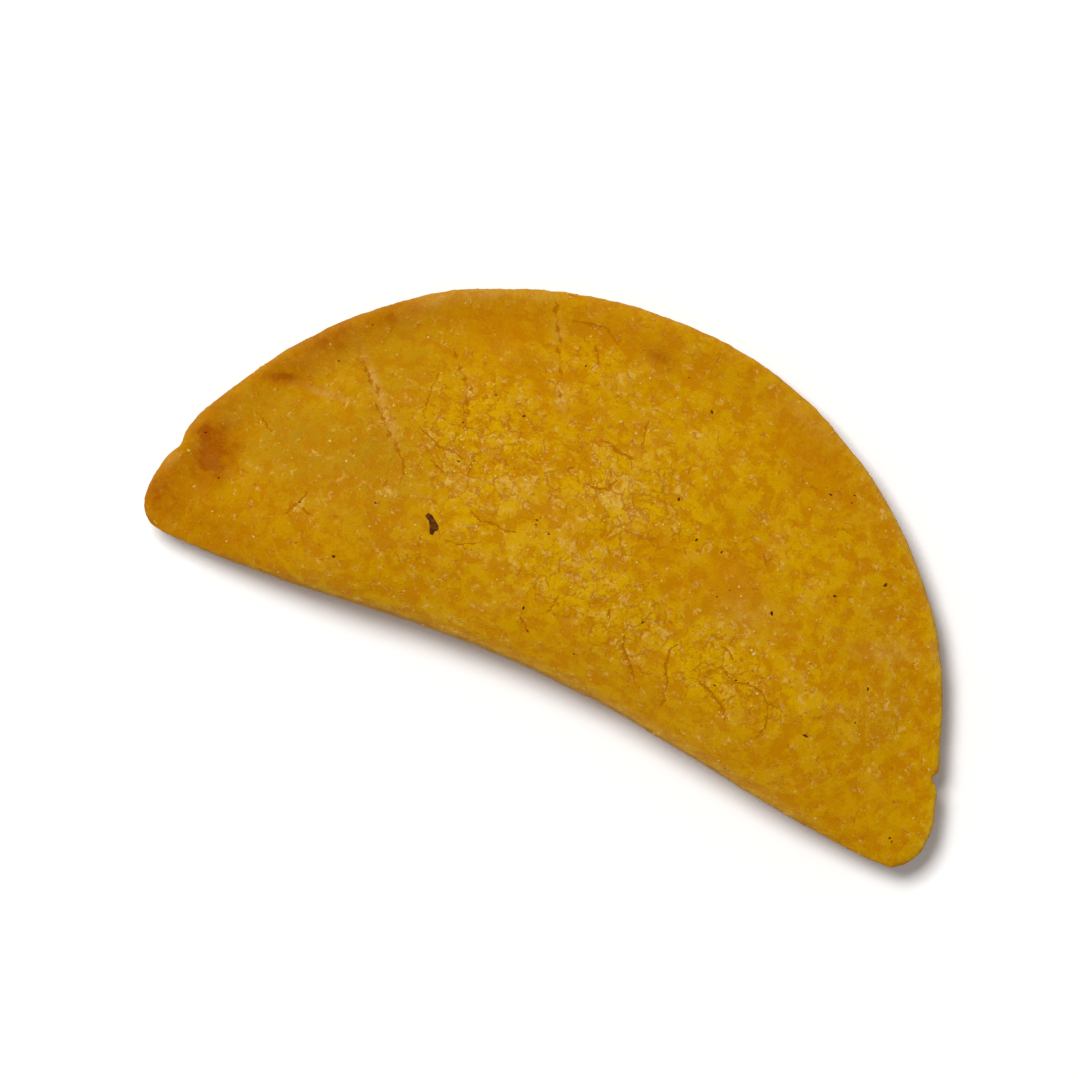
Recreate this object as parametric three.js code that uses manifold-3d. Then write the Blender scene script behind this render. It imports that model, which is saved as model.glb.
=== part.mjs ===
// A corn-dough empanada: one disc of dough folded over its filling into a half moon,
// pressed shut along its plain cut edge and fried. It is one closed solid.
// Millimetres, +Z up. The plan is measured from the centre of the dough disc, with the
// fold along X on the -Y side and the pressed rim on the +Y side, and is then shifted
// so that the origin is the middle of the bounding box on the surface it rests on.
import * as THREE from "three";
import { mergeVertices } from "three/addons/utils/BufferGeometryUtils.js";
import Module from "manifold-3d";

// ---- driving dimensions -------------------------------------------------------------

const discRadius = 65.8;          // the cut edge of the folded disc
const tipAngle = 8.8;             // degrees from the fold at which the cut edge ends
const tipRound = 4.6;             // length of the rounded corner at each tip

const foldMiddle = 8.45;          // how far the fold lies from the disc centre, at mid-length
const foldSweep = 4.7;            // how much nearer to the centre line it runs at the tips
const foldHalfSweep = 60.5;       // distance from mid-length at which it is fully swept
const foldTilt = 0.01;            // the right end runs lower than the left, per mm

const rimMidHeight = 7.6;         // height of the pressed rim's seam above the ground
const rimHalf = 3.0;              // half the thickness of the two pressed layers
const rimRound = 2.6;             // how far in the rounding of the cut edge reaches
const flangeWidth = 6.0;          // pressed flat before the filling lifts the dough
const flangeFade = 10.0;          // the flange narrows away over this distance to the fold
const seamGroove = 0.45;          // depth of the line where the two layers meet

const bodyMidHeight = 11.3;       // mid-height of the filled part
const bodyHalf = 12.7;            // half the thickness of the filled part
const bodyReach = 40.0;           // distance from the cut edge to the full thickness
const doming = 0.7;               // 0 rises softly from the flange, 1 at once
const foldRoll = 19.0;            // how far in from the fold the rolled edge reaches

const stationCount = 104;         // sections from tip to tip
const loopCount = 38;             // points round each section
const rimCrowding = 1.25;         // above 1, more of them lie near the cut edge

// Where the cut edge stands in or out of its circle: degrees, degrees wide, mm out.
const rimWaves = [
  { at: 20, spread: 9, out: -0.85 },
  { at: 75, spread: 11, out: 0.3 },
  { at: 105, spread: 11, out: -0.25 },
  { at: 122, spread: 4, out: 0.25 },
  { at: 159.5, spread: 4, out: 0.6 },
];

// Tears and nicks in the cut edge: degrees, mouth and depth in mm, and how far the inner
// end leans along the edge.
const nicks = [
  { at: 16.2, mouth: 1.9, depth: 2.3, lean: 0.5 },
  { at: 22.2, mouth: 1.2, depth: 0.7, lean: 0.2 },
  { at: 33.4, mouth: 1.5, depth: 0.6, lean: -0.3 },
  { at: 47.8, mouth: 1.0, depth: 0.6, lean: 0.1 },
  { at: 75.8, mouth: 0.9, depth: 0.6, lean: -0.1 },
  { at: 105.0, mouth: 1.2, depth: 0.6, lean: 0.2 },
  { at: 165.9, mouth: 4.6, depth: 0.9, lean: -1.9 },
];

// Soft furrows pressed into the top crust, as points along each one.
const creases = [
  { path: [[-55.8, 31.9], [-50.4, 33.2], [-44.0, 34.2]], width: 1.5, depth: 0.8 },
  { path: [[-43.8, 43.0], [-36.7, 35.4], [-30.7, 28.2]], width: 1.4, depth: 0.5 },
  { path: [[-31.1, 46.6], [-27.2, 43.9], [-24.2, 37.8]], width: 1.3, depth: 0.45 },
  { path: [[-20.4, 61.1], [-15.8, 53.2], [-10.4, 42.3]], width: 1.4, depth: 0.55 },
];

// Open cracks in the top crust, as points along each one.
const crackWidth = 0.9;
const crackDepth = 0.9;
const cracks = [
  [[9.7, 18.6], [10.0, 16.5], [12.3, 15.1], [14.1, 13.1]],
  [[17.7, 18.0], [18.3, 15.4], [19.7, 13.5], [19.5, 11.3]],
  [[22.7, 17.1], [25.9, 16.1], [27.8, 15.5], [29.6, 13.0]],
  [[32.9, 18.2], [34.7, 17.7], [35.4, 14.3]],
  [[-4.5, 43.8], [-1.4, 44.4], [0.8, 43.7], [2.4, 41.7]],
  [[-33.8, 32.5], [-32.1, 30.9], [-31.8, 29.6], [-29.8, 27.5]],
];

// Slow swells of the crust over the uneven filling: direction in degrees, length of the
// wave and its height in mm, and its phase in radians.
const swells = [
  { towards: 12, length: 41, height: 0.32, phase: 0.6 },
  { towards: 71, length: 29, height: 0.26, phase: 2.1 },
  { towards: 128, length: 19, height: 0.18, phase: 4.4 },
  { towards: 160, length: 12.5, height: 0.11, phase: 1.2 },
];

// ---- the shape of the crust -----------------------------------------------------------

const { clamp, degToRad, lerp, radToDeg, smoothstep } = THREE.MathUtils;

/** A quarter circle rising from 0 at the edge to 1 at the given reach. */
function rounded(distance, reach) {
  const left = 1 - clamp(distance / reach, 0, 1);
  return Math.sqrt(1 - left * left);
}

/** The radius of the cut edge at an angle in degrees. */
function cutEdgeRadius(angle) {
  let radius = discRadius;
  for (const wave of rimWaves) {
    radius += wave.out * Math.exp(-(((angle - wave.at) / wave.spread) ** 2));
  }
  return radius;
}

/** A point on the cut edge, by its angle in degrees. */
function cutEdge(angle, radius = cutEdgeRadius(angle)) {
  return new THREE.Vector2(radius, 0).rotateAround(new THREE.Vector2(), degToRad(angle));
}

const rightTip = cutEdge(tipAngle);
const leftTip = cutEdge(180 - tipAngle);

/** The plan line of the fold, swept back to its tips and turned up into each corner. */
function foldLine(x) {
  const along = clamp(x / foldHalfSweep, -1, 1);
  const swept = foldMiddle - foldSweep * Math.sin((along * Math.PI) / 2) ** 2 - foldTilt * x;
  const tip = x > 0 ? rightTip : leftTip;
  const past = Math.abs(x) - (Math.abs(tip.x) - tipRound);
  if (past <= 0) return swept;
  const left = Math.sqrt(Math.max(0, 1 - (past / tipRound) ** 2));
  return swept + (tip.y - swept) * (1 - left);
}

/** How far a plan point lies from a line of points, and how far along it, from 0 to 1. */
function nearLine(path, x, y) {
  const point = new THREE.Vector3(x, y, 0);
  const nearest = new THREE.Vector3();
  let best = { distance: Infinity, along: 0 };
  for (let i = 0; i + 1 < path.length; i += 1) {
    const piece = new THREE.Line3(
      new THREE.Vector3(...path[i], 0),
      new THREE.Vector3(...path[i + 1], 0),
    );
    const part = piece.closestPointToPointParameter(point, true);
    const distance = piece.at(part, nearest).distanceTo(point);
    if (distance < best.distance) {
      best = { distance, along: (i + part) / (path.length - 1) };
    }
  }
  return best;
}

/** How deep the soft furrows press the top crust in at a plan point. */
function creaseDepth(x, y) {
  let depth = 0;
  for (const crease of creases) {
    const { distance, along } = nearLine(crease.path, x, y);
    const fade = Math.sin(Math.PI * (0.15 + 0.7 * along));
    depth += crease.depth * fade * Math.exp(-((distance / crease.width) ** 2));
  }
  return depth;
}

/** The uneven lie of the crust at a plan point. */
function swell(x, y) {
  let height = 0;
  for (const wave of swells) {
    const turn = degToRad(wave.towards);
    const run = x * Math.cos(turn) + y * Math.sin(turn);
    height += wave.height * Math.sin((2 * Math.PI * run) / wave.length + wave.phase);
  }
  return height;
}

/** The height of the crust at a plan point: side 1 is the top, -1 the underside. */
function crustHeight(x, y, side) {
  const fromRim = cutEdgeRadius(radToDeg(Math.atan2(y, x))) - Math.hypot(x, y);
  const fromFold = y - foldLine(x);
  const edge = rounded(fromRim, rimRound) * rounded(fromFold, foldRoll);
  const pressed = flangeWidth * (1 - Math.exp(-Math.max(0, fromFold) / flangeFade));
  const inward = clamp((fromRim - pressed) / (bodyReach - pressed), 0, 1);
  const filled = lerp(smoothstep(inward, 0, 1), 1 - (1 - inward) ** 2, doming);
  const middle = lerp(rimMidHeight, bodyMidHeight, filled);
  const half = lerp(rimHalf, bodyHalf, filled);
  const relief = side > 0 ? swell(x, y) - creaseDepth(x, y) : 0;
  return Math.max(0, middle + edge * (side * half + relief));
}

/** A unit sphere, its poles at the tips, moulded station by station into the half moon. */
function crustBody() {
  const geometry = new THREE.SphereGeometry(1, loopCount, stationCount);
  const position = geometry.getAttribute("position");
  const onSphere = new THREE.Vector3();
  for (let i = 0; i < position.count; i += 1) {
    onSphere.fromBufferAttribute(position, i);
    const station = Math.acos(clamp(onSphere.y, -1, 1)) / Math.PI;
    const round = Math.atan2(onSphere.z, onSphere.x);
    const rim = cutEdge(lerp(180 - tipAngle, tipAngle, station));
    const fold = foldLine(rim.x);
    const fromRim = ((1 - Math.cos(round)) / 2) ** rimCrowding;
    const y = lerp(rim.y, fold, fromRim);
    const z = crustHeight(rim.x, y, round > 0 ? 1 : -1);
    const onSeam = Math.abs(round) < 1e-6 ? clamp(4 * Math.sin(Math.PI * station), 0, 1) : 0;
    const drawnIn = 1 - (seamGroove * onSeam) / discRadius;
    position.setXYZ(i, rim.x * drawnIn, y * drawnIn, z);
  }
  return geometry;
}

// ---- cuts -----------------------------------------------------------------------------

/** An upright three-sided blade that leaves a nick in the cut edge. */
function nickBlade(nick) {
  const clear = 2;
  const edgeRadius = cutEdgeRadius(nick.at);
  const widen = 1 + clear / nick.depth;
  const mouth = nick.mouth * widen;
  const outline = new THREE.Shape([
    new THREE.Vector2(clear, -mouth / 2),
    new THREE.Vector2(clear, mouth / 2),
    new THREE.Vector2(-nick.depth, nick.lean),
  ]);
  const height = 4 * rimHalf;
  const blade = new THREE.ExtrudeGeometry(outline, { depth: height, bevelEnabled: false });
  blade.translate(edgeRadius, 0, rimMidHeight - height / 2);
  blade.rotateZ(degToRad(nick.at));
  return blade;
}

/** A three-sided wedge that follows a crack just under the top crust. */
function crackBlade(path) {
  const above = 0.5;
  const stepsPerPiece = 3;
  const steps = stepsPerPiece * (path.length - 1);
  const line = new THREE.CatmullRomCurve3(path.map(([x, y]) => new THREE.Vector3(x, y, 0)));
  const blade = new THREE.CylinderGeometry(1, 1, 1, 3, steps);
  const position = blade.getAttribute("position");
  for (let i = 0; i < position.count; i += 1) {
    const along = 0.5 - position.getY(i);
    const centre = line.getPointAt(along);
    const ahead = line.getTangentAt(along);
    const open = Math.sin(Math.PI * along) ** 0.7;
    const onAxis = Math.hypot(position.getX(i), position.getZ(i)) < 0.5;
    const corner = onAxis ? 0 : position.getX(i);
    const keel = position.getZ(i) > 0.9;
    const side = (corner * crackWidth * (0.3 + 0.7 * open)) / 2;
    const x = centre.x + ahead.y * side;
    const y = centre.y - ahead.x * side;
    const lift = keel ? 0.15 - (crackDepth + 0.15) * open : above;
    const height = onAxis ? (above + 0.15) / 2 : lift;
    position.setXYZ(i, x, y, crustHeight(x, y, 1) + height);
  }
  return blade;
}

// ---- assembly ---------------------------------------------------------------------------

const wasm = await Module();
wasm.setup();

/** A closed three.js geometry as a solid that can be cut. */
function toSolid(geometry) {
  const bare = geometry.clone();
  bare.deleteAttribute("normal");
  bare.deleteAttribute("uv");
  const merged = mergeVertices(bare, 1e-4);
  return new wasm.Manifold(new wasm.Mesh({
    numProp: 3,
    vertProperties: new Float32Array(merged.getAttribute("position").array),
    triVerts: new Uint32Array(merged.getIndex().array),
  }));
}

/** A cut solid back as a three.js geometry. */
function toGeometry(solid) {
  const mesh = solid.getMesh();
  const geometry = new THREE.BufferGeometry();
  geometry.setAttribute("position", new THREE.BufferAttribute(mesh.vertProperties, 3));
  geometry.setIndex(new THREE.BufferAttribute(mesh.triVerts, 1));
  geometry.computeVertexNormals();
  return geometry;
}

let solid = toSolid(crustBody());
for (const nick of nicks) solid = solid.subtract(toSolid(nickBlade(nick)));
for (const crack of cracks) solid = solid.subtract(toSolid(crackBlade(crack)));

const crust = toGeometry(solid);
crust.computeBoundingBox();
const middle = crust.boundingBox.getCenter(new THREE.Vector3());
crust.translate(-middle.x, -middle.y, -crust.boundingBox.min.z);

const friedCornDough = new THREE.MeshStandardMaterial({
  color: 0xbe8506,
  roughness: 0.6,
  metalness: 0,
});

const empanada = new THREE.Mesh(crust, friedCornDough);
empanada.name = "empanada";

const group = new THREE.Group();
group.add(empanada);
export default group;
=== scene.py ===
"""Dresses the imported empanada: a crackled, golden crust of fried corn dough with its
dark hull flecks and pale maize grits, on a pale floor in soft light."""

import math

import bmesh
import bpy
import numpy as np
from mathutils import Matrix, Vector
from mathutils.bvhtree import BVHTree


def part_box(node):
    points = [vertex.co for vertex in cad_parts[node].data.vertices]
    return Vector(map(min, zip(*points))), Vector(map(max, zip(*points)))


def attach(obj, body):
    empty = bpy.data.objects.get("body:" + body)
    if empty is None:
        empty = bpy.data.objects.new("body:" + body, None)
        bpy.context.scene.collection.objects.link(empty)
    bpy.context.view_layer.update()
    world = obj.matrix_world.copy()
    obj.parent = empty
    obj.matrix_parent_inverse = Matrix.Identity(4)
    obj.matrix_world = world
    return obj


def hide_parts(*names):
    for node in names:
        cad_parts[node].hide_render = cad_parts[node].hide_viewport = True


bl_info = {
    "name": "Corn Empanada",
    "version": (1, 0, 0),
    "blender": (4, 5, 0),
    "location": "3D View > Sidebar > Empanada",
    "description": "A half-moon corn-dough pie with a crackled golden crust",
    "category": "Add Mesh",
}

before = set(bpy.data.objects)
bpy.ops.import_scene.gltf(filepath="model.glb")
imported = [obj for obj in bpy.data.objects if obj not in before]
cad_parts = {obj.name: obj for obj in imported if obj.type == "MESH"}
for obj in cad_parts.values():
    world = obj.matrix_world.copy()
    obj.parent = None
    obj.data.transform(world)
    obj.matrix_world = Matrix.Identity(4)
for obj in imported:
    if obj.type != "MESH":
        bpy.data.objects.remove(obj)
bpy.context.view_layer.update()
crust_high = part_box("empanada")[1]

BODY = "root"
NODE = "empanada"
MM = 0.001

# The plan is measured in millimetres from the centre of the dough disc, as the solid's is:
# x runs along the fold and y towards the pressed rim.
RIM_RADIUS = 65.7
DISC_CENTRE_Y = crust_high.y / MM - RIM_RADIUS
FOLD_MIDDLE = 8.45
FOLD_SWEEP = 4.7
FOLD_HALF_SWEEP = 60.5

# Steps of smoothing that take away the solid's facets, and the fewest faces that a crust
# remeshed as it should be can have.
SOFTENING_STEPS = 12
FEWEST_FACES = 1000

# Faces are made finer where the crackle mask is above the first, and within the second, in
# millimetres, of an open crack.
CRACKLED_ENOUGH = 0.8
NEAR_CRACK = 0.7

# An open crack has no effect beyond its reach, in millimetres, and this is farther off.
CRACK_REACH = 4.0
FAR_OFF = 9.0

# Open cracks: plan points along each one, and its width.
CRACKS = [
    ([(10.2, 18.8), (10.5, 17.3), (11.6, 16.3), (12.6, 15.3), (14.1, 13.6)], 0.5),
    ([(9.9, 16.5), (10.6, 17.0), (11.6, 16.3)], 0.4),
    ([(6.4, 21.6), (6.9, 20.2)], 0.36),
    ([(17.9, 21.0), (17.1, 20.0), (17.5, 17.5), (18.1, 16.2), (18.9, 15.0), (19.0, 13.8)], 0.44),
    ([(18.9, 13.3), (19.7, 12.6), (19.3, 11.6)], 0.4),
    ([(23.1, 17.1), (24.6, 16.9), (25.9, 16.1), (27.2, 15.5), (28.2, 14.8), (28.9, 13.6)], 0.5),
    ([(27.0, 15.5), (27.7, 16.4)], 0.34),
    ([(24.0, 23.5), (25.2, 23.2), (26.3, 22.3)], 0.3),
    ([(25.4, 20.4), (27.9, 19.3), (30.0, 19.9), (32.2, 19.8), (33.8, 18.4), (34.5, 16.8)], 0.26),
    ([(34.5, 16.8), (34.9, 15.1), (34.3, 13.0)], 0.34),
    ([(33.8, 18.4), (35.6, 18.4)], 0.26),
    ([(-5.2, 43.9), (-3.7, 44.3), (-1.6, 43.6), (0.6, 43.6)], 0.5),
    ([(0.2, 49.7), (0.4, 47.6), (1.0, 45.6)], 0.3),
    ([(-4.6, 37.2), (-2.5, 37.3), (-1.3, 38.0), (-0.5, 39.6)], 0.36),
    ([(-32.6, 30.3), (-31.2, 29.3), (-30.2, 27.9), (-29.9, 26.0)], 0.36),
    ([(-30.2, 34.6), (-28.9, 34.1), (-26.7, 33.3), (-24.6, 33.5), (-22.6, 33.1)], 0.34),
    ([(-21.3, 33.6), (-21.1, 31.2)], 0.34),
    ([(-18.4, 26.4), (-16.6, 25.7), (-15.0, 26.1), (-12.6, 25.9), (-11.0, 26.4)], 0.34),
    ([(-20.4, 21.0), (-18.4, 21.0), (-16.0, 22.4)], 0.26),
    ([(-1.4, 20.2), (-1.6, 18.5), (-1.9, 17.2)], 0.3),
    ([(-5.2, 15.0), (-4.3, 14.2), (-3.3, 13.5)], 0.3),
    ([(-42.0, 19.0), (-42.4, 17.4), (-43.2, 16.0), (-43.7, 14.7)], 0.34),
    ([(-42.0, 16.5), (-40.2, 16.0)], 0.24),
    ([(-11.9, 57.1), (-10.9, 55.8), (-10.1, 54.5)], 0.4),
    ([(-16.2, 59.0), (-13.6, 59.7), (-11.4, 60.0), (-8.7, 58.5)], 0.36),
    ([(32.9, 46.6), (33.8, 47.1), (35.1, 46.8)], 0.26),
    ([(24.1, 38.6), (25.1, 37.5)], 0.4),
    ([(-31.4, 43.6), (-31.6, 41.0), (-31.0, 36.6)], 0.24),
    ([(-23.2, 38.0), (-24.3, 37.6)], 0.35),
    ([(-2.0, 40.5), (-1.5, 39.8)], 0.35),
    ([(-8.0, 38.0), (-7.2, 38.8)], 0.35),
    ([(-27.2, 31.0), (-24.5, 30.0)], 0.35),
    ([(-53.5, 26.5), (-50.8, 25.0)], 0.3),
]

# Pits along the furrows, as plan points. Each is drawn as a very short crack: this is the
# way from its middle to its end, and its width.
PIT_HALF_RUN = (0.2, -0.25)
PIT_WIDTH = 0.75
PITS = [
    (-42.0, 39.5), (-41.2, 38.9), (-40.5, 38.2), (-39.0, 37.5), (-37.9, 34.9), (-36.4, 33.8),
    (-34.5, 32.0), (-33.0, 31.0), (-32.2, 30.2), (-30.5, 28.4), (-30.4, 47.0), (-29.0, 45.5),
    (-27.6, 44.3), (-26.0, 43.2), (-25.9, 41.3), (-25.2, 40.0), (-24.4, 37.5), (-19.5, 60.0),
    (-19.5, 59.2), (-18.0, 57.0), (-17.0, 55.6), (-16.5, 54.0), (-15.0, 51.3), (-13.6, 48.0),
]

# Soft furrows across the crust: plan points, half-width and depth.
FURROWS = [
    ([(-56.6, 31.8), (-53.6, 32.8), (-51.2, 33.6), (-47.0, 33.5), (-41.0, 34.3)], 1.0, 0.55),
    ([(-43.6, 41.5), (-41.4, 39.3), (-37.3, 35.1), (-32.4, 30.4)], 0.7, 0.45),
    ([(-31.7, 47.9), (-27.6, 44.3), (-25.9, 41.6), (-24.8, 38.2)], 0.6, 0.4),
    ([(-20.3, 61.5), (-18.2, 57.4), (-16.5, 54.0), (-14.0, 49.0), (-12.6, 45.4)], 0.6, 0.4),
]

# Soft patches of colour: plan centre, half-length, half-width, turn in degrees, strength.
# These are browned, blushed orange, floury, greener and brighter. The greener ones also darken the
# left of the crust, which faces the lamp, as painted shade. The brighter ones are partly paler
# dough and partly painted light: a painted highlight on the top of the filling, and lightening of
# the right side, which faces away from the lamp.
BROWNED = [
    (-57.3, 18.0, 3.0, 4.6, 0, 1.4),
    (-57.8, 20.8, 3.6, 2.0, 0, 1.1),
    (-52.8, 33.1, 3.0, 0.8, 18, 1.0),
    (-51.0, 35.8, 5.0, 2.0, 20, 0.35),
    (-62.0, 9.0, 6.0, 6.0, 0, 0.55),
    (-53.0, 8.0, 9.0, 4.0, 0, 0.4),
    (-48.5, 42.0, 8.0, 3.4, 55, 0.45),
    (-41.0, 49.5, 4.5, 2.2, 42, 0.45),
    (-61.0, 24.5, 5.0, 2.0, 55, 0.3),
    (-2.3, 59.2, 2.2, 1.3, 0, 0.75),
    (-0.3, 58.3, 1.4, 1.0, 0, 0.4),
    (-19.6, 49.8, 2.2, 0.9, 0, 0.3),
]
BLUSHED = [
    (-25.5, 53.5, 6.5, 3.6, 20, 0.5),
    (-9.0, 61.5, 9.0, 2.6, -8, 0.35),
    (25.0, 54.5, 7.5, 4.0, -28, 0.5),
    (9.0, 33.7, 4.5, 3.0, -10, 0.6),
    (22.0, 32.6, 5.0, 3.8, -20, 0.6),
    (15.0, 29.0, 4.0, 3.0, 0, 0.35),
    (56.0, 6.5, 8.0, 3.5, 0, 0.25),
    (-6.0, 31.0, 5.0, 2.4, 0, 0.3),
]
FLOURY = [
    (-39.5, 38.0, 4.6, 0.7, -45, 1.0),
    (-34.6, 33.0, 2.6, 0.7, -48, 0.9),
    (-46.0, 33.8, 4.0, 0.5, 6, 0.7),
    (-31.0, 57.0, 6.5, 1.0, 30, 0.7),
    (-37.5, 53.0, 3.4, 1.2, 42, 0.6),
    (-26.3, 42.4, 1.2, 0.8, -60, 0.5),
    (-17.8, 56.8, 1.6, 0.7, -55, 0.6),
    (-13.0, 47.2, 1.8, 0.7, -60, 0.7),
    (-22.5, 60.4, 2.6, 0.9, 20, 0.5),
    (25.4, 29.3, 5.0, 3.0, 20, 0.2),
    (46.8, 32.6, 3.6, 1.4, 20, 0.5),
    (54.2, 36.0, 1.6, 1.0, 125, 0.9),
    (-63.2, 15.0, 1.4, 0.8, 75, 0.7),
    (22.0, 60.0, 5.0, 1.0, -22, 0.4),
]
# Greener dough. On the left of the crust it is also painted shade: it darkens the side that faces
# the lamp.
OLIVE_AND_SHADED = [
    (-46.0, 25.5, 10.0, 7.0, 0, 0.6),
    (-36.0, 28.0, 9.0, 9.0, 0, 0.55),
    (-37.0, 42.0, 8.0, 7.0, 0, 0.4),
    (14.0, 12.5, 20.0, 2.5, -4, 0.2),
]
# Partly paler dough and partly painted light: a painted highlight on the top of the filling, and
# lightening of the right side, which faces away from the lamp.
PALER_AND_LIT = [
    (-22.0, 38.0, 12.0, 8.0, 0, 0.75),
    (-14.0, 27.0, 11.0, 8.0, 10, 0.85),
    (4.0, 37.0, 12.0, 9.0, 0, 1.0),
    (0.0, 24.0, 14.0, 7.0, 0, 0.9),
    (20.0, 21.0, 14.0, 6.0, -10, 0.95),
    (32.0, 38.0, 9.0, 9.0, 0, 0.45),
    (36.0, 21.0, 8.0, 7.0, 0, 0.6),
    (14.0, 49.0, 14.0, 6.0, -15, 0.5),
    (-12.0, 52.0, 8.0, 5.0, 0, 0.35),
    (48.0, 20.0, 7.0, 7.0, 0, 0.3),
    (58.0, 7.0, 7.0, 5.0, 0, 0.5),
]

# Patches where the crust is crackled into plates, and where it is crumbly, in the same form.
CRACKLED = [
    (-20.0, 36.0, 20.0, 13.0, 0, 1.0),
    (2.0, 38.0, 17.0, 14.0, 0, 1.0),
    (6.0, 22.0, 24.0, 10.0, -8, 0.95),
    (26.0, 20.0, 14.0, 8.0, -10, 1.0),
    (-10.0, 53.0, 16.0, 8.0, 0, 0.75),
    (26.0, 40.0, 14.0, 12.0, 0, 0.6),
    (48.0, 24.0, 14.0, 10.0, 0, 0.55),
    (-32.0, 30.0, 10.0, 12.0, 0, 0.7),
    (-24.0, 16.0, 14.0, 5.0, -8, 0.7),
]
CRUMBLY = [
    (23.0, 27.5, 7.0, 4.5, -10, 1.0),
    (30.0, 24.0, 6.0, 5.0, 0, 0.7),
    (-2.0, 26.5, 9.0, 5.0, -10, 0.9),
    (12.5, 24.0, 9.0, 5.0, 0, 0.7),
    (-2.0, 38.0, 14.0, 9.0, 0, 0.6),
    (50.0, 26.0, 8.0, 8.0, 20, 0.35),
    (-22.0, 30.0, 14.0, 9.0, 0, 0.5),
    (0.0, 52.0, 14.0, 6.0, 0, 0.3),
]

# The outline of the large hull fleck, as plan points, anticlockwise.
FLECK = [
    (-24.5, 23.1), (-24.2, 22.8), (-23.7, 22.6), (-23.3, 22.0), (-23.0, 21.3), (-22.7, 20.8),
    (-22.2, 20.9), (-22.2, 21.5), (-21.8, 21.8), (-22.0, 22.4), (-22.8, 23.0), (-23.5, 23.5),
    (-24.2, 23.6),
]

# Dark flecks of hull: plan place, length and turn in degrees.
HULL_SPECKS = [
    (-17.2, 42.7, 0.65, 50), (-22.3, 43.9, 0.5, 0), (-23.3, 32.5, 0.5, 0),
    (-9.0, 29.3, 0.45, 0), (-8.8, 28.6, 0.45, 0), (-6.5, 28.1, 0.45, 20),
    (-5.4, 16.5, 0.65, 100), (-3.5, 13.6, 0.5, 0), (4.3, 13.3, 0.4, 0),
    (11.7, 21.9, 0.65, 60), (8.3, 55.0, 0.7, -50), (9.1, 40.9, 0.7, -80),
    (14.0, 36.4, 0.6, 60), (18.2, 36.3, 0.5, 90), (28.8, 31.0, 0.85, -65),
    (41.0, 16.4, 0.8, 0), (46.8, 26.6, 0.65, 90), (36.5, 37.3, 0.65, 20),
    (42.9, 42.0, 0.85, 70), (29.8, 51.0, 0.55, 0), (33.1, 52.4, 0.45, 0),
    (33.2, 51.2, 0.4, 0), (28.0, 19.7, 0.5, 30), (25.4, 17.7, 0.5, 0),
    (-34.5, 11.8, 0.65, 0), (-42.5, 17.1, 0.55, 30), (-32.1, 21.7, 0.45, 0),
    (-60.0, 20.8, 0.6, 30), (-55.3, 15.4, 0.45, -20), (-25.1, 38.1, 0.45, 40),
    (-11.8, 53.5, 0.5, 80), (-43.7, 46.0, 0.45, 0), (-46.1, 38.9, 0.45, 0),
    (59.2, 7.5, 0.5, 30), (59.7, 7.1, 0.45, 80), (20.3, 29.9, 0.4, 40),
    (21.6, 31.6, 0.35, 0), (47.1, 21.2, 0.45, 60), (3.1, 58.3, 0.35, 0),
]

# Small pale grits are scattered over the crust, and most of them where it is crumbly: the
# chance of one elsewhere is this, next to 1 where it is fully crumbly.
GRIT_COUNT = 620
GRIT_CHANCE_ELSEWHERE = 0.12

# Large pale grits that stand out: plan place, length and turn in degrees.
LARGE_GRITS = [
    (-42.2, 27.4, 0.75, -20), (-46.4, 22.7, 0.5, 20), (-31.1, 23.3, 0.8, 40),
    (-13.0, 34.1, 0.7, 35), (-18.8, 39.8, 0.4, 0), (-10.8, 30.3, 0.75, 60),
    (-8.4, 24.7, 0.6, 50), (-41.3, 34.3, 0.5, 10), (2.8, 54.8, 0.6, 0),
    (-3.6, 48.0, 0.7, 30), (23.6, 48.7, 0.6, 0), (25.8, 51.1, 0.6, 60),
    (29.4, 49.9, 0.6, 10), (28.6, 34.5, 0.6, 20), (4.7, 31.3, 0.8, 50),
    (18.8, 27.0, 1.15, 0), (41.2, 21.1, 0.55, 60), (30.6, 28.5, 1.2, -40),
    (37.0, 26.6, 0.7, 45), (47.7, 5.6, 0.7, -20), (40.6, 37.5, 0.55, 30),
    (-61.2, 17.3, 0.9, -10), (-54.1, 10.4, 0.5, 0), (-22.8, 11.4, 0.7, -10),
    (28.9, 24.4, 0.9, 35), (23.3, 22.9, 0.7, 0), (-37.4, 44.0, 0.45, 90),
]

# The random draws that shape the chips start from these.
SPECK_SEED = 7
GRIT_SEED = 11

# Plates and flakes per millimetre, and the half-widths in millimetres of their cracks.
PLATE_SCALE = 0.32
FLAKE_SCALE = 0.7
PLATE_GAP = 0.27
FLAKE_GAP = 0.17

# The camera looks straight down on this point, in millimetres, turned by so many degrees
# so that the fold runs down to the right. Its lens and sensor are in millimetres too.
VIEW_MIDDLE = (-7.34, -7.65, 8.0)
VIEW_TURN = 24.28
LENS = 300.0
SENSOR = 36.0

# The key light stands to the upper left in the camera's view. Its way there over the floor,
# its distance along that way, its height and its size are in metres, its power in watts.
KEY_WAY = (-0.64, 0.77, 0)
KEY_DISTANCE = 0.51
KEY_HEIGHT = 1.41
KEY_SIZE = 0.45
KEY_POWER = 19.9

# The strength of the white sky that fills the shadows.
SKY_STRENGTH = 0.31


def srgb(red, green, blue):
    """A colour given as 0-255 display values, as scene-linear red, green and blue."""
    parts = [value / 255 for value in (red, green, blue)]
    return tuple(p / 12.92 if p < 0.04045 else ((p + 0.055) / 1.055) ** 2.4 for p in parts)


# ---- what a user would change ---------------------------------------------------------


def length(name, description, default):
    """A size in metres that a user can change."""
    return bpy.props.FloatProperty(
        name=name, description=description, default=default, unit="LENGTH", precision=5
    )


def colour(name, description, default):
    """A colour that a user can change."""
    return bpy.props.FloatVectorProperty(
        name=name, description=description, default=default, subtype="COLOR", min=0, max=1
    )


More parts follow.
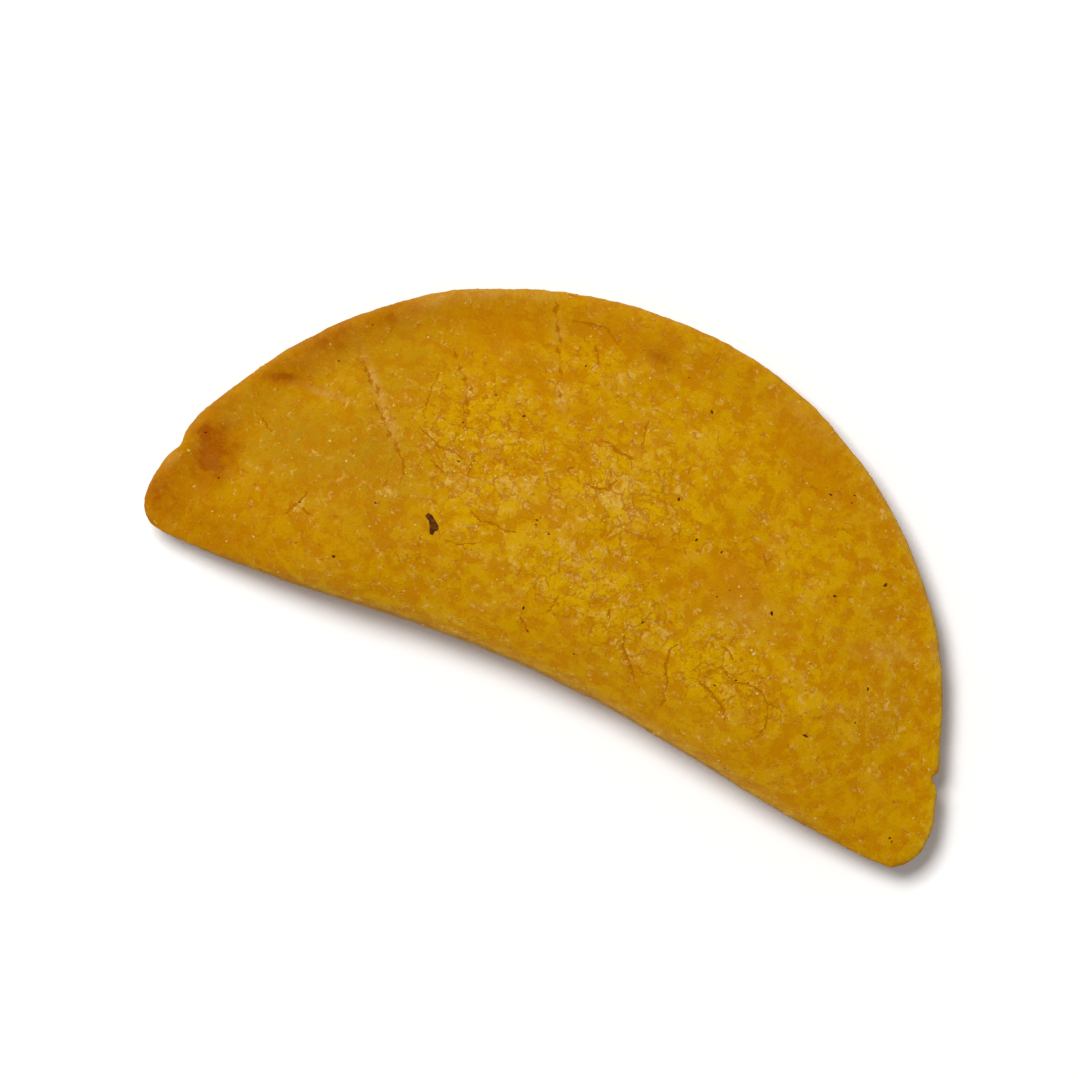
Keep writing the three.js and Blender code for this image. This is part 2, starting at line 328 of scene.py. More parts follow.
class EmpanadaSizes(bpy.types.PropertyGroup):
    """Sizes of the crust's relief and of the studio."""

    grid: length("Grid", "Size of the crust's largest mesh faces", 0.0005)
    swell: length("Swell", "Height of the slow swells of the crust", 0.00018)
    plate: length("Plate", "How far the crackled plates stand proud", 0.00006)
    hairline: length("Hairline depth", "Depth of the hairline cracks", 0.00008)
    crack: length("Crack depth", "Depth of the open cracks", 0.00018)
    grit: length("Grit", "Height of the grain of the corn meal", 0.00006)
    fleck_half: length("Fleck half-thickness", "That of the large hull fleck", 0.0001)
    grit_radius: length("Grit radius", "Radius of the largest loose grits", 0.00032)
    view_width: length("View width", "Width seen by the camera", 0.1632)
    floor: length("Floor", "Width of the floor", 6.0)


class EmpanadaColours(bpy.types.PropertyGroup):
    """Colours of the crust, its flecks and the floor."""

    gold: colour("Gold", "The lighter mottling of the crust", srgb(192, 141, 0))
    amber: colour("Amber", "The darker mottling of the crust", srgb(184, 121, 0))
    # Yellow is also painted light: it is laid where the crust is lightened on the top of the
    # filling and on its right side.
    yellow: colour("Yellow", "The dry crust on the top of the filling", srgb(207, 163, 0))
    brown: colour("Brown", "Browned patches", srgb(158, 84, 0))
    blush: colour("Blush", "Orange patches", srgb(184, 113, 0))
    # Flour is also laid along the fold as painted light, lightening the wall that faces away from
    # the lamp.
    flour: colour("Flour", "Dry, floury dough", srgb(193, 146, 64))
    # Olive is greener and darker than the gold. It also serves as painted shade on the left of the
    # crust, which faces the lamp.
    olive_and_shaded: colour("Olive", "Greener, paler dough", srgb(169, 123, 18))
    crumb: colour("Crumb", "Pale crumbs of corn meal", srgb(210, 169, 78))
    crack: colour("Crack", "The inside of the cracks", srgb(169, 101, 0))
    hull: colour("Hull", "Flecks of toasted hull", srgb(104, 54, 4))
    floor: colour("Floor", "The studio floor", (0.96, 0.96, 0.96))


# ---- nodes ------------------------------------------------------------------------------


def put(tree, kind, inputs=(), output=0, **settings):
    """Adds a node with its settings and inputs, and returns one of its outputs."""
    node = tree.nodes.new(kind)
    for name, value in settings.items():
        setattr(node, name, value)
    for key, value in dict(inputs).items():
        if isinstance(value, bpy.types.NodeSocket):
            tree.links.new(value, node.inputs[key])
        else:
            node.inputs[key].default_value = value
    return node.outputs[output]


def maths(tree, operation, *values, clamp=False):
    """One step of arithmetic."""
    return put(
        tree, "ShaderNodeMath", enumerate(values), operation=operation, use_clamp=clamp
    )


def vector_maths(tree, operation, *values):
    """One step of arithmetic on vectors."""
    return put(tree, "ShaderNodeVectorMath", enumerate(values), operation=operation)


def scaled(tree, vector, factor):
    """A vector times a number."""
    inputs = {"Vector": vector, "Scale": factor}
    return put(tree, "ShaderNodeVectorMath", inputs, operation="SCALE")


def ramp(tree, value, start, end, low=0.0, high=1.0):
    """A smooth step from low at start to high at end."""
    inputs = {"Value": value, "From Min": start, "From Max": end, "To Min": low, "To Max": high}
    return put(tree, "ShaderNodeMapRange", inputs, interpolation_type="SMOOTHSTEP")


def grain(tree, place, scale, detail=2.0, roughness=0.5, output="Fac"):
    """Cloudy noise; scale is in lumps per millimetre."""
    inputs = {"Vector": place, "Scale": scale, "Detail": detail, "Roughness": roughness}
    return put(tree, "ShaderNodeTexNoise", inputs, output)


def cells(tree, place, scale, feature, output):
    """Random cells; scale is in cells per millimetre."""
    inputs = {"Vector": place, "Scale": scale}
    return put(tree, "ShaderNodeTexVoronoi", inputs, output, feature=feature)


def blended(tree, factor, first, second):
    """A mix of two colours."""
    inputs = {0: factor, 6: first, 7: second}
    return put(tree, "ShaderNodeMix", inputs, 2, data_type="RGBA")


def wobble(tree, place, scale, reach):
    """A small random shift, up to about the given reach in millimetres."""
    noise = grain(tree, place, scale, output="Color")
    centred = vector_maths(tree, "SUBTRACT", noise, (0.5, 0.5, 0.5))
    return scaled(tree, centred, 2 * reach)


def pattern_group(name, kind, fill, inputs, outputs):
    """A node group of the given kind of tree, filled by a function of its input sockets."""
    group = bpy.data.node_groups.new(name, kind)
    for label, socket in inputs:
        group.interface.new_socket(label, in_out="INPUT", socket_type=socket)
    for label in outputs:
        group.interface.new_socket(label, in_out="OUTPUT", socket_type="NodeSocketFloat")
    entry = group.nodes.new("NodeGroupInput")
    made = fill(group, *entry.outputs[: len(inputs)])
    leave = group.nodes.new("NodeGroupOutput")
    for socket, value in zip(leave.inputs, made):
        group.links.new(value, socket)
    return group


def placed_group(tree, group, values):
    """Places a node group in a tree of its own kind, with its input values."""
    node = tree.nodes.new(tree.bl_idname.replace("NodeTree", "NodeGroup"))
    node.node_tree = group
    for socket, value in zip(node.inputs, values):
        tree.links.new(value, socket)
    return node


def network(tree, place, bent, scale, openness, reach):
    """A broken network of cracks between random cells: how open it is, and the gap to it.

    Openness, from 0 to 1, is the share of the network that shows; reach is the half-width
    of an open crack in millimetres."""
    gap = cells(tree, bent, scale, "DISTANCE_TO_EDGE", "Distance")
    gap = maths(tree, "DIVIDE", gap, scale)
    patchy = grain(tree, place, 2.2 * scale, 1.0, 0.5)
    shut_below = ramp(tree, openness, 0.0, 1.0, 0.7, 0.37)
    opened = ramp(tree, maths(tree, "SUBTRACT", patchy, shut_below), 0.0, 0.2)
    width = maths(tree, "MULTIPLY_ADD", opened, reach, 0.0005)
    line = maths(tree, "SUBTRACT", 1.0, maths(tree, "DIVIDE", gap, width), clamp=True)
    return ramp(tree, line, 0.0, 0.8), gap


def mottling(tree, cloud, crackled):
    """Light and dark, softly where the crust is smooth and in steps where it is crackled."""
    soft = ramp(tree, cloud, 0.38, 0.62, 0.05, 0.95)
    low = ramp(tree, cloud, 0.44, 0.47, 0.0, 0.5)
    high = ramp(tree, cloud, 0.53, 0.56, 0.0, 0.5)
    stepped = maths(tree, "SUBTRACT", maths(tree, "ADD", low, high), soft)
    flaked = ramp(tree, crackled, 0.0, 0.8, 0.6, 1.0)
    return maths(tree, "MULTIPLY_ADD", stepped, flaked, soft)


def fill_crackle(tree, place, crackled, crumbly):
    """Hairline cracks, the plates between them and their lips, crumbly meal and mottling."""
    bend = wobble(tree, place, 0.35, 1.0)
    fray = wobble(tree, place, 1.5, 0.5)
    bent = vector_maths(tree, "ADD", place, vector_maths(tree, "ADD", bend, fray))
    coarse, gap = network(tree, place, bent, PLATE_SCALE, crackled, PLATE_GAP)
    fewer = maths(tree, "MULTIPLY", crackled, 0.85)
    fine, _ = network(tree, place, bent, FLAKE_SCALE, fewer, FLAKE_GAP)
    hairline = maths(tree, "MAXIMUM", coarse, maths(tree, "MULTIPLY", fine, 0.7))

    plate = put(tree, "ShaderNodeSeparateXYZ", {0: cells(tree, bent, PLATE_SCALE, "F1", "Color")})
    flake = put(tree, "ShaderNodeSeparateXYZ", {0: cells(tree, bent, FLAKE_SCALE, "F1", "Color")})
    flake = maths(tree, "SUBTRACT", flake, 0.5)
    plate = maths(tree, "MULTIPLY_ADD", flake, 0.4, plate)
    lip = ramp(tree, gap, 0.12, 0.6, 1.0, 0.0)
    lip = maths(tree, "MULTIPLY", lip, ramp(tree, crackled, 0.2, 0.9))

    meal = grain(tree, place, 0.7, 4.0, 0.74)
    meal = maths(tree, "MULTIPLY_ADD", crumbly, 0.075, meal)
    cloud = grain(tree, bent, 0.4, 5.0, 0.6)
    cloud = maths(tree, "MULTIPLY_ADD", flake, 0.1, cloud)
    return hairline, plate, lip, meal, mottling(tree, cloud, crackled)


CRACKLE_INPUTS = [
    ("Place", "NodeSocketVector"),
    ("Crackled", "NodeSocketFloat"),
    ("Crumbly", "NodeSocketFloat"),
]
CRACKLE_OUTPUTS = ["Hairline", "Plate", "Lip", "Meal", "Mottle"]


def fill_tears(tree, place, side, half_width):
    """The ragged open cracks, and the lips beside them.

    Side is the distance from the middle of a crack, in millimetres."""
    jag = maths(tree, "SUBTRACT", grain(tree, place, 1.5, 3.0, 0.65), 0.5)
    far = maths(tree, "ABSOLUTE", maths(tree, "MULTIPLY_ADD", jag, 1.1, side))
    rough = ramp(tree, grain(tree, place, 1.5, 1.0), 0.3, 0.7, 0.75, 1.5)
    reach = maths(tree, "MULTIPLY_ADD", half_width, rough, 0.001)
    tear = maths(tree, "SUBTRACT", 1.25, maths(tree, "DIVIDE", far, reach), clamp=True)
    tear = ramp(tree, tear, 0.0, 0.8)
    tear_lip = ramp(tree, far, 0.2, 0.75, 1.0, 0.0)
    wide = ramp(tree, half_width, 0.02, 0.2)
    tear_lip = maths(tree, "MULTIPLY", tear_lip, wide)
    return tear, tear_lip


TEAR_INPUTS = [
    ("Place", "NodeSocketVector"),
    ("Side", "NodeSocketFloat"),
    ("Half Width", "NodeSocketFloat"),
]
TEAR_OUTPUTS = ["Tear", "Tear Lip"]


# ---- the lie of the crust ----------------------------------------------------------------


def smooth(value, start, end):
    """A smooth step on an array, from 0 at start to 1 at end."""
    part = np.clip((value - start) / (end - start), 0, 1)
    return part * part * (3 - 2 * part)


def patches(x, y, spots):
    """The strongest of several soft oval patches at each plan point."""
    strength = np.zeros_like(x)
    for centre_x, centre_y, half_length, half_width, turn, amount in spots:
        cosine, sine = math.cos(math.radians(turn)), math.sin(math.radians(turn))
        across, up = x - centre_x, y - centre_y
        along = (across * cosine + up * sine) / half_length
        beside = (up * cosine - across * sine) / half_width
        strength = np.maximum(strength, amount * np.exp(-(along**2 + beside**2)))
    return strength


def beside_line(x, y, path):
    """Signed distance from a line of plan points, and how far along it, from 0 to 1."""
    best = np.full_like(x, np.inf)
    signed = np.full_like(x, np.inf)
    place = np.zeros_like(x)
    for index, (start, end) in enumerate(zip(path, path[1:])):
        run_x, run_y = end[0] - start[0], end[1] - start[1]
        reach = run_x * run_x + run_y * run_y
        part = np.clip(((x - start[0]) * run_x + (y - start[1]) * run_y) / reach, 0, 1)
        gap_x, gap_y = x - start[0] - part * run_x, y - start[1] - part * run_y
        far = np.hypot(gap_x, gap_y)
        side = np.where(run_x * gap_y - run_y * gap_x < 0, -1.0, 1.0)
        nearer = far < best
        best = np.where(nearer, far, best)
        signed = np.where(nearer, far * side, signed)
        place = np.where(nearer, (index + part) / (len(path) - 1), place)
    return signed, place


def fold_line(x):
    """The plan line of the fold."""
    along = np.clip(x / FOLD_HALF_SWEEP, -1, 1)
    return FOLD_MIDDLE - FOLD_SWEEP * np.sin(along * math.pi / 2) ** 2


def pit_cracks():
    """The pits as very short cracks, with their width."""
    run_x, run_y = PIT_HALF_RUN
    return [([(x - run_x, y - run_y), (x + run_x, y + run_y)], PIT_WIDTH) for x, y in PITS]


def nearest_crack(x, y):
    """Signed distance from the nearest open crack or pit, and its half-width there."""
    side = np.full_like(x, FAR_OFF)
    half_width = np.zeros_like(x)
    for path, width in CRACKS + pit_cracks():
        signed, along = beside_line(x, y, path)
        nearer = np.abs(signed) < np.abs(side)
        tapered = 0.5 * width * np.sin(math.pi * (0.06 + 0.88 * along)) ** 0.5
        side = np.where(nearer, signed, side)
        half_width = np.where(nearer, tapered, half_width)
    return side, half_width * (np.abs(side) < CRACK_REACH)


def furrow_depth(x, y):
    """How deep the furrows are at each plan point."""
    deepest = np.zeros_like(x)
    for path, width, depth in FURROWS:
        signed, along = beside_line(x, y, path)
        fade = np.sin(math.pi * (0.12 + 0.76 * along)) * np.exp(-((signed / width) ** 2))
        deepest = np.maximum(deepest, depth * fade)
    return deepest


def crust_masks(place, normals):
    """Where the crust is cracked, furrowed and coloured, by name, for each vertex."""
    x = place[:, 0] / MM
    y = place[:, 1] / MM - DISC_CENTRE_Y
    top = smooth(normals[:, 2], -0.1, 0.25)
    under = 1 - top
    from_rim = RIM_RADIUS - np.hypot(x, y)
    from_fold = y - fold_line(x)
    side, half_width = nearest_crack(x, y)

    # Bands along the edges: browned at the rim's left and worn floury on its very edge. At the
    # rim's right, painted light lightens the rim where it faces away from the lamp. Along the
    # middle of the fold, flour is laid together with painted light that lightens the wall facing
    # away from the lamp.
    left_rim = (1 - smooth(from_rim, 1.0, 7.0)) * (1 - smooth(x, -42.0, -10.0))
    worn_rim = (1 - smooth(from_rim, 0.3, 1.6)) * (0.12 + 0.23 * smooth(x, 15.0, 55.0))
    right_rim_lit = (1 - smooth(from_rim, 0.8, 2.6)) * smooth(x, 35.0, 60.0)
    middle = smooth(x, -56.0, -18.0) * (1 - smooth(x, 34.0, 54.0))
    fold_flour_and_light = (1 - smooth(from_fold, 0.4, 2.2)) * middle
    inner = smooth(from_rim, 5.0, 14.0) * smooth(from_fold, 2.0, 8.0)
    return {
        "crack_side": side,
        "crack_half_width": half_width * top,
        "furrow": furrow_depth(x, y) * top,
        "inner": 0.2 + 0.8 * inner,
        "crackled": np.maximum(0.45, top * patches(x, y, CRACKLED) + under * 0.7 * inner),
        "crumbly": top * patches(x, y, CRUMBLY) + 0.15 * under,
        "browned": top * patches(x, y, BROWNED) + 0.25 * left_rim + 0.1 * under,
        "blushed": top * patches(x, y, BLUSHED) + 0.2 * under,
        # Real flour. Along the fold it is also painted light on the wall that faces away from the
        # lamp.
        "floury_and_lit": top * np.maximum(patches(x, y, FLOURY), worn_rim) + 0.45 * fold_flour_and_light,
        # Greener dough, partly painted shade on the left, which faces the lamp.
        "olive_and_shaded": top * patches(x, y, OLIVE_AND_SHADED),
        # Partly paler dough and partly painted light: lighter on the top of the filling, on the
        # right side and along the right rim, which face away from the lamp.
        "paler_and_lit": top * patches(x, y, PALER_AND_LIT) + right_rim_lit,
    }


def vertex_values(mesh, name, size):
    """A vertex property as an array with one row for each vertex."""
    values = np.zeros(len(mesh.vertices) * size, np.float32)
    mesh.vertices.foreach_get(name, values)
    return values.reshape(-1, size)


def mesh_masks(mesh):
    """The masks for each vertex of a mesh, by name."""
    place = vertex_values(mesh, "co", 3)
    normals = vertex_values(mesh, "normal", 3)
    return crust_masks(place.astype(float), normals.astype(float))


def store_masks(mesh):
    """Writes the masks, and each vertex's place before any relief, on the mesh."""
    for name, values in mesh_masks(mesh).items():
        layer = mesh.attributes.new(name, "FLOAT", "POINT")
        layer.data.foreach_set("value", values.astype(np.float32))
    layer = mesh.attributes.new("smooth_place", "FLOAT_VECTOR", "POINT")
    layer.data.foreach_set("vector", vertex_values(mesh, "co", 3).ravel())


def applied(piece):
    """Makes a piece's mesh the result of its modifiers, and takes them away."""
    bpy.context.view_layer.update()
    shown = piece.evaluated_get(bpy.context.evaluated_depsgraph_get())
    mesh = bpy.data.meshes.new_from_object(shown)
    old = piece.data
    piece.modifiers.clear()
    piece.data = mesh
    mesh.name = old.name
    bpy.data.meshes.remove(old)
    return mesh


def halve_edges(mesh, wanted):
    """Halves each edge with two wanted ends, which cuts the faces among them in four."""
    form = bmesh.new()
    form.from_mesh(mesh)
    edges = [e for e in form.edges if wanted[e.verts[0].index] and wanted[e.verts[1].index]]
    bmesh.ops.subdivide_edges(form, edges=edges, cuts=1, use_grid_fill=True)
    form.to_mesh(mesh)
    form.free()


def refine_crust(mesh):
    """Gives the crackled part of the crust finer faces, and the open cracks finer still."""
    halve_edges(mesh, mesh_masks(mesh)["crackled"] > CRACKLED_ENOUGH)
    masks = mesh_masks(mesh)
    near = np.abs(masks["crack_side"]) < NEAR_CRACK
    halve_edges(mesh, near & (masks["crack_half_width"] > 0))


def relief_tree(sizes):
    """Geometry nodes that raise the swells, plates and grit and sink the cracks."""
    tree = bpy.data.node_groups.new("crust_relief", "GeometryNodeTree")
    tree.interface.new_socket("Geometry", in_out="INPUT", socket_type="NodeSocketGeometry")
    tree.interface.new_socket("Geometry", in_out="OUTPUT", socket_type="NodeSocketGeometry")
    entry = tree.nodes.new("NodeGroupInput")
    leave = tree.nodes.new("NodeGroupOutput")

    def mask(name):
        """A mask stored on the mesh."""
        return put(tree, "GeometryNodeInputNamedAttribute", {"Name": name}, "Attribute")

    place = scaled(tree, put(tree, "GeometryNodeInputPosition"), 1 / MM)
    crackle = placed_group(
        tree,
        pattern_group(
            "crackle_relief", "GeometryNodeTree", fill_crackle, CRACKLE_INPUTS, CRACKLE_OUTPUTS
        ),
        [place, mask("crackled"), mask("crumbly")],
    )
    tears = placed_group(
        tree,
        pattern_group("tear_relief", "GeometryNodeTree", fill_tears, TEAR_INPUTS, TEAR_OUTPUTS),
        [place, mask("crack_side"), mask("crack_half_width")],
    )

    swell = maths(tree, "SUBTRACT", grain(tree, place, 0.1, 2.0, 0.5), 0.5)
    lumps = maths(tree, "SUBTRACT", grain(tree, place, 0.45, 3.0, 0.6), 0.5)
    lumps = maths(tree, "MULTIPLY", lumps, mask("inner"))
    grit = maths(tree, "SUBTRACT", crackle.outputs["Meal"], 0.5)
    plate = maths(tree, "SUBTRACT", crackle.outputs["Plate"], 0.5)
    plate = maths(tree, "MULTIPLY", plate, mask("crackled"))
    flake = maths(tree, "MULTIPLY", crackle.outputs["Mottle"], mask("crackled"))
    parts = [
        (swell, 3 * sizes.swell),
        (lumps, 2 * sizes.swell),
        (grit, 5 * sizes.grit),
        (plate, 2 * sizes.plate),
        (flake, 1.3 * sizes.plate),
        (crackle.outputs["Lip"], 0.4 * sizes.plate),
        (crackle.outputs["Hairline"], -sizes.hairline),
        (tears.outputs["Tear"], -sizes.crack),
        (tears.outputs["Tear Lip"], 0.5 * sizes.plate),
        (mask("furrow"), -MM),
    ]
    height = 0.0
    for value, amount in parts:
        height = maths(tree, "MULTIPLY_ADD", value, amount, height)
    offset = scaled(tree, put(tree, "GeometryNodeInputNormal"), height)
    moved = put(
        tree, "GeometryNodeSetPosition", {"Geometry": entry.outputs[0], "Offset": offset}
    )
    tree.links.new(moved, leave.inputs[0])
    return tree


# ---- materials ------------------------------------------------------------------------------


def new_material(name):
    """A material with an empty tree and its Principled shader."""
    material = bpy.data.materials.new(name)
    material.use_nodes = True
    tree = material.node_tree
    tree.nodes.clear()
    shader = tree.nodes.new("ShaderNodeBsdfPrincipled")
    surface = tree.nodes.new("ShaderNodeOutputMaterial")
    tree.links.new(shader.outputs[0], surface.inputs["Surface"])
    return material, tree, shader


def mask_value(tree, name, output="Fac"):
    """A mask stored on the mesh."""
    return put(tree, "ShaderNodeAttribute", output=output, attribute_name=name)


def opaque(colour_parts):
    """Red, green and blue as a colour with its alpha."""
    return (*colour_parts, 1.0)


def fried_colour(tree, place, mottle, meal, colours):
    """The mottled gold of the dough, with browned, blushed and floury patches and greener ones.
    The greener ones are partly painted shade, and the yellow and part of the floury band along the
    fold are partly painted light.
    """
    uneven = ramp(tree, grain(tree, place, 0.4, 4.0, 0.62), 0.3, 0.7, 0.4, 1.45)

    def tint(name):
        """A mask broken up by cloudy noise, so its edge is uneven."""
        return maths(tree, "MULTIPLY", mask_value(tree, name), uneven, clamp=True)

    surface = blended(tree, mottle, opaque(colours.amber), opaque(colours.gold))
    # Painted light: yellow is laid over the paler and lit places. These are partly paler dough and
    # partly light painted onto the top of the filling and the right side.
    paler_and_lit_share = ramp(tree, mottle, 0.0, 1.0, 0.25, 0.9)
    paler_and_lit_share = maths(tree, "MULTIPLY", mask_value(tree, "paler_and_lit"), paler_and_lit_share, clamp=True)
    surface = blended(tree, paler_and_lit_share, surface, opaque(colours.yellow))
    surface = blended(tree, tint("olive_and_shaded"), surface, opaque(colours.olive_and_shaded))
    surface = blended(tree, tint("blushed"), surface, opaque(colours.blush))
    surface = blended(tree, tint("browned"), surface, opaque(colours.brown))
    # Flour where the dough is floury. Along the fold it is partly painted light on the wall.
    dusty = ramp(tree, meal, 0.35, 0.65, 0.35, 1.15)
    floury_and_lit = maths(tree, "MULTIPLY", tint("floury_and_lit"), dusty, clamp=True)
    return blended(tree, floury_and_lit, surface, opaque(colours.flour))


def crackled_colour(tree, surface, crackle, tears, colours):
    """Adds the pale plates and crumbs, and then the darker cracks, to a colour."""
    plates = ramp(tree, crackle.outputs["Plate"], 0.5, 1.1, 0.0, 0.1)
    plates = maths(tree, "MULTIPLY", plates, mask_value(tree, "crackled"))
    surface = blended(tree, plates, surface, opaque(colours.crumb))

    # Crumbs show most on the lips of the cracks and least where the crust is browned.
    lips = maths(tree, "MAXIMUM", crackle.outputs["Lip"], tears.outputs["Tear Lip"])
    toasted = maths(tree, "ADD", mask_value(tree, "browned"), mask_value(tree, "blushed"))
    level = maths(tree, "MULTIPLY_ADD", toasted, -0.12, crackle.outputs["Meal"])
    level = maths(tree, "MULTIPLY_ADD", lips, 0.03, level)
    level = maths(tree, "MULTIPLY_ADD", plates, 0.9, level)
    crumbs = ramp(tree, level, 0.57, 0.73, 0.0, 0.8)
    surface = blended(tree, crumbs, surface, opaque(colours.crumb))

    hairlines = maths(tree, "MULTIPLY", crackle.outputs["Hairline"], 0.65)
    open_cracks = maths(tree, "MULTIPLY", tears.outputs["Tear"], 0.9)
    cracks = maths(tree, "MAXIMUM", hairlines, open_cracks)
    return blended(tree, cracks, surface, opaque(colours.crack))


def crust_material(colours, sizes):
    """Fried corn dough: mottled gold, crackled, with pale crumbs and browned patches."""
    material, tree, shader = new_material("fried_corn_crust")
    place = scaled(tree, mask_value(tree, "smooth_place", "Vector"), 1 / MM)
    crackle = placed_group(
        tree,
        pattern_group("crackle", "ShaderNodeTree", fill_crackle, CRACKLE_INPUTS, CRACKLE_OUTPUTS),
        [place, mask_value(tree, "crackled"), mask_value(tree, "crumbly")],
    )
    tears = placed_group(
        tree,
        pattern_group("tears", "ShaderNodeTree", fill_tears, TEAR_INPUTS, TEAR_OUTPUTS),
        [place, mask_value(tree, "crack_side"), mask_value(tree, "crack_half_width")],
    )
    mottle, meal = crackle.outputs["Mottle"], crackle.outputs["Meal"]

    surface = fried_colour(tree, place, mottle, meal, colours)
    surface = crackled_colour(tree, surface, crackle, tears, colours)
    speckle = ramp(tree, grain(tree, place, 3.1, 2.0, 0.6), 0.3, 0.7, 0.95, 1.05)
    tree.links.new(scaled(tree, surface, speckle), shader.inputs["Base Color"])

    sheen = ramp(tree, meal, 0.35, 0.65, 0.52, 0.7)
    tree.links.new(sheen, shader.inputs["Roughness"])
    shader.inputs["Specular IOR Level"].default_value = 0.015
    shader.inputs["Diffuse Roughness"].default_value = 0.65
    flaked = maths(tree, "MULTIPLY", mottle, mask_value(tree, "crackled"))
    raised = maths(tree, "MULTIPLY_ADD", flaked, 0.6, grain(tree, place, 1.9, 3.0, 0.7))
    bump = put(tree, "ShaderNodeBump", {"Height": raised, "Distance": 2.0 * sizes.grit})
    tree.links.new(bump, shader.inputs["Normal"])
    return material


def hull_material(colours):
    """Toasted hull: brown where it is worn, and darker elsewhere."""
    material, tree, shader = new_material("toasted_hull")
    place = scaled(tree, put(tree, "ShaderNodeNewGeometry", output="Position"), 1 / MM)
    worn = ramp(tree, grain(tree, place, 2.2, 3.0, 0.6), 0.35, 0.7)
    darkening = 0.35
    dark = opaque(darkening * part for part in colours.hull)
    surface = blended(tree, worn, dark, opaque(colours.hull))
    tree.links.new(surface, shader.inputs["Base Color"])
    shader.inputs["Roughness"].default_value = 0.6
    shader.inputs["Specular IOR Level"].default_value = 0.05
    return material


def grit_material(colours):
    """Pale maize grits, some floury and some glassy yellow."""
    material, tree, shader = new_material("maize_grits")
    place = scaled(tree, put(tree, "ShaderNodeNewGeometry", output="Position"), 1 / MM)
    kind = ramp(tree, grain(tree, place, 0.9, 2.0), 0.35, 0.65)
    surface = blended(tree, kind, opaque(colours.gold), opaque(colours.crumb))
    tree.links.new(surface, shader.inputs["Base Color"])
    shader.inputs["Roughness"].default_value = 0.5
    shader.inputs["Specular IOR Level"].default_value = 0.2
    return material


# ---- pieces ---------------------------------------------------------------------------------


def new_piece(name, data):
    """A new object in the scene, of a mesh, a lamp or a camera."""
    piece = bpy.data.objects.new(name, data)
    bpy.context.scene.collection.objects.link(piece)
    return piece


def crust_surface():
    """The finished crust as a tree that can be searched for points on it."""
    mesh = bpy.data.objects["crust"].data
    corners = [vertex.co for vertex in mesh.vertices]
    return BVHTree.FromPolygons(corners, [face.vertices for face in mesh.polygons])


def on_crust(surface, x, y):
    """The point and normal on top of the crust over a plan point in millimetres."""
    high_above = 0.2
    start = Vector((x * MM, (y + DISC_CENTRE_Y) * MM, high_above))
    point, normal, _, _ = surface.ray_cast(start, Vector((0, 0, -1)))
    return point, normal


def chip(random, point, normal, half_size, turn, sectors):
    """Corners and faces of one small uneven chip, lying on the crust and half sunk.

    Half_size is half its length, width and height."""
    half_length, half_width, half_height = half_size
    levels = 4
    up = normal.normalized()
    side = Vector((math.cos(turn), math.sin(turn), 0))
    side = (side - up * side.dot(up)).normalized()
    across = up.cross(side)
    corners = [point - up * half_height]
    for level in range(1, levels):
        rise = -math.cos(math.pi * level / levels)
        spread = math.sin(math.pi * level / levels)
        for sector in range(sectors):
            angle = 2 * math.pi * sector / sectors
            ragged = random.uniform(0.75, 1.15)
            along = side * (half_length * spread * ragged * math.cos(angle))
            beside = across * (half_width * spread * ragged * math.sin(angle))
            corners.append(point + along + beside + up * (half_height * rise))
    corners.append(point + up * half_height)
    faces = []
    for sector in range(sectors):
        after = (sector + 1) % sectors
        faces.append((0, 1 + after, 1 + sector))
        for level in range(levels - 2):
            low, high = 1 + level * sectors, 1 + (level + 1) * sectors
            faces.append((low + sector, low + after, high + after, high + sector))
        last = 1 + (levels - 2) * sectors
        faces.append((last + sector, last + after, len(corners) - 1))
    return corners, faces


def placed_chips(random, surface, places, narrowing, flattening, sectors):
    """Chips at the plan places listed, each with its length and turn in degrees."""
    chips = []
    for x, y, size, turn in places:
        point, normal = on_crust(surface, x, y)
        half = size * MM / 2
        half_size = (half, narrowing * half, flattening * half)
        chips.append(chip(random, point, normal, half_size, math.radians(turn), sectors))
    return chips


def thin_flake(name, surface, outline, half_thickness):
    """A thin domed flake with the outline given, lying on the crust."""
    middle_x = sum(x for x, _ in outline) / len(outline)
    middle_y = sum(y for _, y in outline) / len(outline)
    # The levels from its underside to its top: their share of the outline, and their rise.
    levels = ((1.0, -1.0), (1.0, 0.7), (0.8, 1.3), (0.4, 1.6))
    corners, faces = [], []
    for spread, rise in levels:
        for x, y in outline:
            place = (middle_x + spread * (x - middle_x), middle_y + spread * (y - middle_y))
            point, normal = on_crust(surface, *place)
            corners.append(point + normal * (rise * half_thickness))
    around = len(outline)
    for level in range(len(levels) - 1):
        for index in range(around):
            low, high = level * around, (level + 1) * around
            after = (index + 1) % around
            faces.append((low + index, low + after, high + after, high + index))
    faces.append(tuple(range(around))[::-1])
    faces.append(tuple(range(len(corners) - around, len(corners))))
    mesh = bpy.data.meshes.new(name)
    mesh.from_pydata(corners, [], faces)
    return mesh


def joined_chips(name, chips):
    """One mesh of many chips."""
    corners, faces = [], []
    for chip_corners, chip_faces in chips:
        start = len(corners)
        corners += chip_corners
        faces += [tuple(start + index for index in face) for face in chip_faces]
    mesh = bpy.data.meshes.new(name)
    mesh.from_pydata(corners, [], faces)
    mesh.shade_smooth()
    return mesh


def dress(piece, material):
    """Gives a piece its material, and has it move with the body."""
    piece.data.materials.clear()
    piece.data.materials.append(material)
    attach(piece, BODY)


